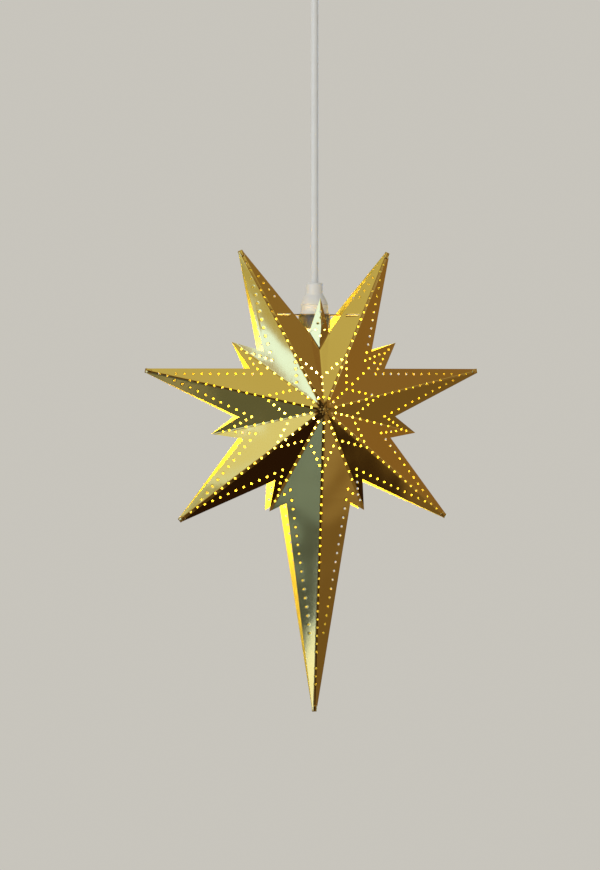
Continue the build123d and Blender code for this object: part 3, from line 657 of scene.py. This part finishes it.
def lock_tabs():
    """Seven bent strips: each a path (along, depth) round its tip, carried across by the strip's half width.

    The path runs from the back along the ridge, round the tip in a half ellipse and back along the front
    ridge; the strip's edges droop with the square of the way across, as the ridge under them does.
    """
    half_turn = np.linspace(-np.pi / 2, np.pi / 2, 13)
    length = np.linspace(TAB_LENGTH, TAB_BEND, 8)
    along = np.concatenate([-length, -TAB_BEND + TAB_NOSE * np.cos(half_turn), -length[::-1]])
    rise = np.concatenate([np.full(8, -1.0), np.sin(half_turn), np.full(8, 1.0)])
    across = np.linspace(-1, 1, 7)
    last = len(along) - 1
    width = TAB_HALF * np.interp(np.arange(last + 1), [0, 3, last - 3, last], [0.75, 1, 1, 0.75])
    strips, faces = [], []
    for point in number:
        slope = (PEAK - TIP_RISE) / tip[point]
        top = TIP_RISE + SEAM + SHEET + TAB_GAP - slope * np.minimum(along, 0)
        depth = rise[:, None] * (top[:, None] - TAB_DROOP * across ** 2)
        front_view = point_axis[point] * (tip[point] + along[:, None] + 1j * width[:, None] * across)
        start = sum(len(strip) for strip in strips)
        strips.append(np.stack([front_view.real, -depth, STAR_Z + front_view.imag], axis=-1).reshape(-1, 3))
        r, c = np.meshgrid(np.arange(len(along) - 1), np.arange(len(across) - 1), indexing="ij")
        first = start + r * len(across) + c
        quads = np.stack([first, first + 1, first + len(across) + 1, first + len(across)], axis=-1)
        faces += quads.reshape(-1, 4).tolist()
    return np.concatenate(strips), faces


tabs = mesh_piece("star_lock_tabs", *lock_tabs(), brass)
thickness = tabs.modifiers.new("sheet", "SOLIDIFY")
thickness.thickness = TAB_SHEET
thickness.offset = 1.0
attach(tabs, "lamp")


# Lamp bracket: a flat brass plate with a round hole under the holder's flange. Its four tabs pass through
# slits in the two sheets and carry them.

PLATE_END, TABS_START = 0.026, 0.030  # across from the middle


def shaded_plate_lit_tabs_brass():
    """Stained brass, dark on the plate inside the star as painted shade under the holder's flange, and pale
    on the tabs that show outside as a painted highlight.
    """
    material, shader, place = new_finish("shaded_plate_lit_tabs_brass", {"IOR": 1.5})
    stains = noise(place, 70.0, 4.0)
    out = place.add("SeparateXYZ", {0: place}, out="X")
    # ends picks out the tabs: their pale, nearly matt colour is a painted highlight, and the plate's dark
    # colour is painted shade
    ends = steps(out * out, PLATE_END ** 2, TABS_START ** 2)
    dull = between(stains, (0.44, 0.32, 0.13), (0.30, 0.21, 0.09))
    mixed(ends, dull, (0.95, 0.80, 0.44)).to(shader["Base Color"])
    between(ends, 1.0, 0.2).to(shader["Metallic"])
    between(stains, 0.42, 0.58).to(shader["Roughness"])
    return material


dress(shaded_plate_lit_tabs_brass(), "lamp_bracket")


# Shade ring: a plastic ring screwed up the holder's skirt, which clamps the bracket under the flange. Its
# black is painted shade, for the deep shadow behind the point that is folded outwards. From the front it
# shows only beside that point and through that point's holes.

# the ring's near-black colour is painted shade, not the ring's own white plastic
ring_painted_shade = moulded("ring_painted_shade", (0.060, 0.060, 0.065), (0.078, 0.077, 0.080), 0.42, 0.00002)
ring_profile = [(0.0133, -0.4017), (0.0144, -0.4017), (0.0156, -0.4005), (0.0156, -0.3900),
                (0.0152, -0.3896), (0.0156, -0.3892), (0.0156, -0.3882), (0.0133, -0.3882)]
turned("shade_ring_body", ring_profile, 0.0003, ring_painted_shade, "ring", "shade_ring")


# Bulb: a clear tubular bulb on a pressed aluminium screw cap, with a black glass insulator and a contact at
# its top. A glass stem inside carries two leads and a hook for the glowing filament. Two small lights give
# its glow: one all round at the filament, and one downwards at the bulb's end.

def clear_glass():
    material, shader, place = new_finish("bulb_glass_clear", {"IOR": 1.45, "Roughness": 0.03})
    smudge = noise(place, 120.0)
    between(smudge, (0.98, 0.93, 0.82), (0.95, 0.88, 0.74)).to(shader["Base Color"])
    between(smudge, 0.10, 0.17).to(shader["Alpha"])
    return material


def pressed_aluminium():
    material, shader, place = new_finish("pressed_aluminium", {"Metallic": 1.0})
    scuffs = noise(stretched(place, 900.0, 900.0, 120.0), 1.0)
    between(scuffs, (0.74, 0.74, 0.73), (0.62, 0.62, 0.61)).to(shader["Base Color"])
    between(scuffs, 0.25, 0.42).to(shader["Roughness"])
    return material


def glowing_filament():
    material, shader, place = new_finish("glowing_filament", {"Emission Strength": 60.0, "Roughness": 0.6})
    coil = noise(stretched(place, 10.0, 10.0, 3500.0), 1.0)
    between(coil, (0.30, 0.26, 0.22), (0.22, 0.19, 0.16)).to(shader["Base Color"])
    between(coil, (1.0, 0.72, 0.36), (1.0, 0.60, 0.26)).to(shader["Emission Color"])
    return material


glass = clear_glass()
GLASS_RADIUS, GLASS_BORE = 0.0125, 0.0118
DOME_Z = -0.4569  # centre of the bulb's round end
round_end = np.linspace(0.02, np.pi / 2, 12)
glass_outside, glass_inside = (
    np.stack([radius * np.sin(round_end), DOME_Z - radius * np.cos(round_end)], axis=-1)
    for radius in (GLASS_RADIUS, GLASS_BORE))
glass_profile = [*glass_outside, (GLASS_RADIUS, -0.4130), (0.0062, -0.4037), (0.0062, -0.3937),
                 (0.0055, -0.3937), (0.0055, -0.4037), (GLASS_BORE, -0.4130), *glass_inside[::-1]]
turned("bulb_glass_envelope", glass_profile, 0.0006, glass, "bulb", "bulb_glass")
dress(glass, "bulb_stem")
dress(pressed_aluminium(), "bulb_cap", "bulb_contact")
dress(moulded("black_glass", (0.025, 0.025, 0.03), (0.04, 0.04, 0.045), 0.16, 0.000005), "bulb_insulator")
dress(glowing_filament(), "bulb_filament")

for name, kind, power, height_at in (
        ("filament_glow", "POINT", 0.27, -0.430),
        ("bulb_end_glow", "SPOT", 1.6, -0.465)):
    glow = bpy.data.lights.new(name, kind)
    glow.energy = power
    glow.color = (1.0, 0.91, 0.62)
    glow.shadow_soft_size = 0.008
    if kind == "SPOT":
        glow.spot_size, glow.spot_blend = np.radians(170), 1.0
    glow_place = bpy.data.objects.new(name, glow)
    glow_place.location = (0, 0, height_at)
    bpy.context.scene.collection.objects.link(glow_place)
    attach(glow_place, "bulb")


# Floor and light: a pale floor far below, an even soft light all round with three area lights, and for
# reflections a plain studio with a cool bright window on the left, a warm dim right side and a dark foot in
# front.

BACKDROP = (0.575, 0.555, 0.505)
EVEN_LIGHT = (0.29, 0.285, 0.265)
FLOOR_Z, FLOOR_RADIUS, FLOOR_SIDES = -2.3, 5, 64


def pale_floor():
    matt = {"Roughness": 0.9, "Specular IOR Level": 0.2, "Emission Strength": 0.5}
    material, shader, place = new_finish("pale_floor", matt)
    tone = between(noise(place, 3.0), (0.66, 0.64, 0.60), (0.63, 0.61, 0.57))
    tone.to(shader["Base Color"])
    tone.to(shader["Emission Color"])
    return material


floor_angle = np.linspace(0, 2 * np.pi, FLOOR_SIDES, endpoint=False)
floor_points = np.stack([FLOOR_RADIUS * np.cos(floor_angle), FLOOR_RADIUS * np.sin(floor_angle),
                         np.full(FLOOR_SIDES, FLOOR_Z)], axis=-1)
floor = mesh_piece("floor", floor_points, [list(range(FLOOR_SIDES))], pale_floor())
floor.visible_glossy = False


def studio():
    """The world: a plain backdrop for the camera, even light for dull surfaces and a studio seen by gloss.

    Its half behind the star is its front half turned about Z, so that the back mirrors the same studio.
    """
    world = bpy.data.worlds.new("studio")
    bpy.context.scene.world = world
    world.use_nodes = True
    tree = world.node_tree
    way = Wire(tree.nodes.new("ShaderNodeTexCoord").outputs["Generated"])
    parts = [way.add("SeparateXYZ", {0: way}, out=axis) for axis in "XYZ"]
    side = parts[1] / way.math("POWER", parts[1] * parts[1] + 0.0004, 0.5)
    forward = way.math("ABSOLUTE", parts[1], 0.0) * -1.0
    seen = way.add("CombineXYZ", {0: parts[0] * side * -1.0, 1: forward, 2: parts[2]})
    room = between(steps(parts[2], -0.5, 0.7), (0.185, 0.125, 0.047), (0.27, 0.175, 0.068))

    def direction(azimuth, elevation):
        a, e = np.radians([azimuth, elevation])
        return np.array([np.sin(a) * np.cos(e), -np.cos(a) * np.cos(e), np.sin(e)])

    def facing(towards):
        return way.add("VectorMath", {0: seen, 1: tuple(towards)}, {"operation": "DOT_PRODUCT"}, "Value")

    def patched(under, *patches):
        """Paints round patches: azimuth, elevation, full within, none beyond (all in degrees), colour."""
        for azimuth, elevation, full, none, colour in patches:
            near = facing(direction(azimuth, elevation))
            under = mixed(steps(near, np.cos(np.radians(none)), np.cos(np.radians(full))), under, colour)
        return under

    room = patched(
        room,
        (-10.0, 52.0, 22.0, 32.0, (0.60, 0.59, 0.28)),
        (62.0, 3.0, 11.0, 20.0, (0.27, 0.165, 0.055)),
        (54.0, -10.0, 4.0, 8.0, (0.34, 0.26, 0.125)),
        (28.0, 33.0, 6.0, 12.0, (0.28, 0.195, 0.075)),
        (2.0, -2.0, 19.0, 26.0, (0.030, 0.020, 0.009)),
        (-39.0, 14.0, 9.0, 14.0, (0.82, 0.92, 0.62)),
        (-34.0, 7.8, 2.6, 5.0, (0.52, 0.52, 0.24)),
        (-35.5, 13.3, 0.8, 1.9, (0.80, 1.08, 1.30)),
        (-35.3, 11.0, 0.7, 1.8, (0.32, 0.42, 0.42)),
        (-39.0, 18.0, 0.9, 1.8, (1.05, 1.55, 2.40)),
        (-29.5, -19.0, 8.0, 12.0, (0.080, 0.115, 0.135)),
        (-27.6, -17.6, 2.3, 3.7, (0.20, 0.32, 0.45)),
        (-31.0, -8.0, 3.0, 6.0, (1.0, 1.3, 1.6)),
        (-25.0, -40.0, 9.0, 15.0, (0.125, 0.15, 0.12)),
        (-30.0, -35.5, 1.0, 3.0, (0.34, 0.36, 0.26)),
        (12.0, -33.0, 12.5, 16.3, (0.022, 0.010, 0.005)),
        (13.0, -1.0, 4.0, 8.0, (0.32, 0.27, 0.17)),
        (39.0, 21.0, 4.0, 7.5, (0.42, 0.36, 0.20)),
        (52.0, 8.0, 3.5, 6.5, (0.70, 0.66, 0.45)),
    )
    window = 1.0
    window_sides = (((-38, 7.5), (-75, 20.5)), ((-80, 30), (-80, -40)), ((-75, -34), (-27, -30)),
                    ((-32.9, -26), (-34.1, 5)))
    for first, second in window_sides:
        edge = np.cross(direction(*first), direction(*second))
        window = steps(facing(edge / np.linalg.norm(edge)), 0.0, 0.02) * window
    room = mixed(window, room, (1.00, 1.55, 2.60))
    room = patched(
        room,
        (-43.0, 0.5, 3.2, 4.5, (0.45, 0.38, 0.13)),
        (-36.5, -22.5, 1.8, 3.2, (1.15, 1.38, 1.40)),
    )
    rays = tree.nodes.new("ShaderNodeLightPath").outputs
    lit = mixed(Wire(rays["Is Glossy Ray"]), EVEN_LIGHT, room)
    straight = way.math("MAXIMUM", Wire(rays["Is Camera Ray"]), Wire(rays["Is Transmission Ray"]))
    mixed(straight, lit, BACKDROP).to(tree.nodes["Background"].inputs["Color"])


studio()
aim = Vector((0, 0, -0.45))
for name, place_at, size, power, colour in (
        ("window_light", (-1.6, -1.9, 0.3), 1.3, 31.0, (0.95, 0.98, 1.0)),
        ("room_light", (1.7, -1.4, 0.4), 1.4, 1.6, (1.0, 0.93, 0.84)),
        ("back_light", (-1.0, 2.1, 0.5), 1.3, 22.0, (1.0, 0.97, 0.93))):
    lamp = bpy.data.lights.new(name, "AREA")
    lamp.size, lamp.energy, lamp.color = size, power, colour
    holder = bpy.data.objects.new(name, lamp)
    holder.location = place_at
    holder.rotation_euler = (aim - Vector(place_at)).to_track_quat("-Z", "Y").to_euler()
    holder.visible_glossy = False
    bpy.context.scene.collection.objects.link(holder)


# Camera: at the photograph's angle, a little to the left of the star and about level with its centre. Its
# view is shifted, so that the star's centre stands right of the picture's middle and above it.

DISTANCE = 1.956
azimuth, elevation = np.radians([-13.44, 0.8])
level = np.cos(elevation)
towards = Vector((np.sin(azimuth) * level, -np.cos(azimuth) * level, np.sin(elevation)))
star_centre = Vector((0, 0, STAR_Z))
lens = bpy.data.cameras.new("camera")
lens.sensor_fit = "VERTICAL"
lens.sensor_height = 36.0
lens.lens = 82.76
lens.shift_x, lens.shift_y = -0.0166, -0.0293
camera = bpy.data.objects.new("camera", lens)
camera.location = star_centre + towards * DISTANCE
camera.rotation_euler = (-towards).to_track_quat("-Z", "Y").to_euler()
bpy.context.scene.collection.objects.link(camera)
bpy.context.scene.camera = camera
bpy.context.scene.view_settings.view_transform = "Standard"
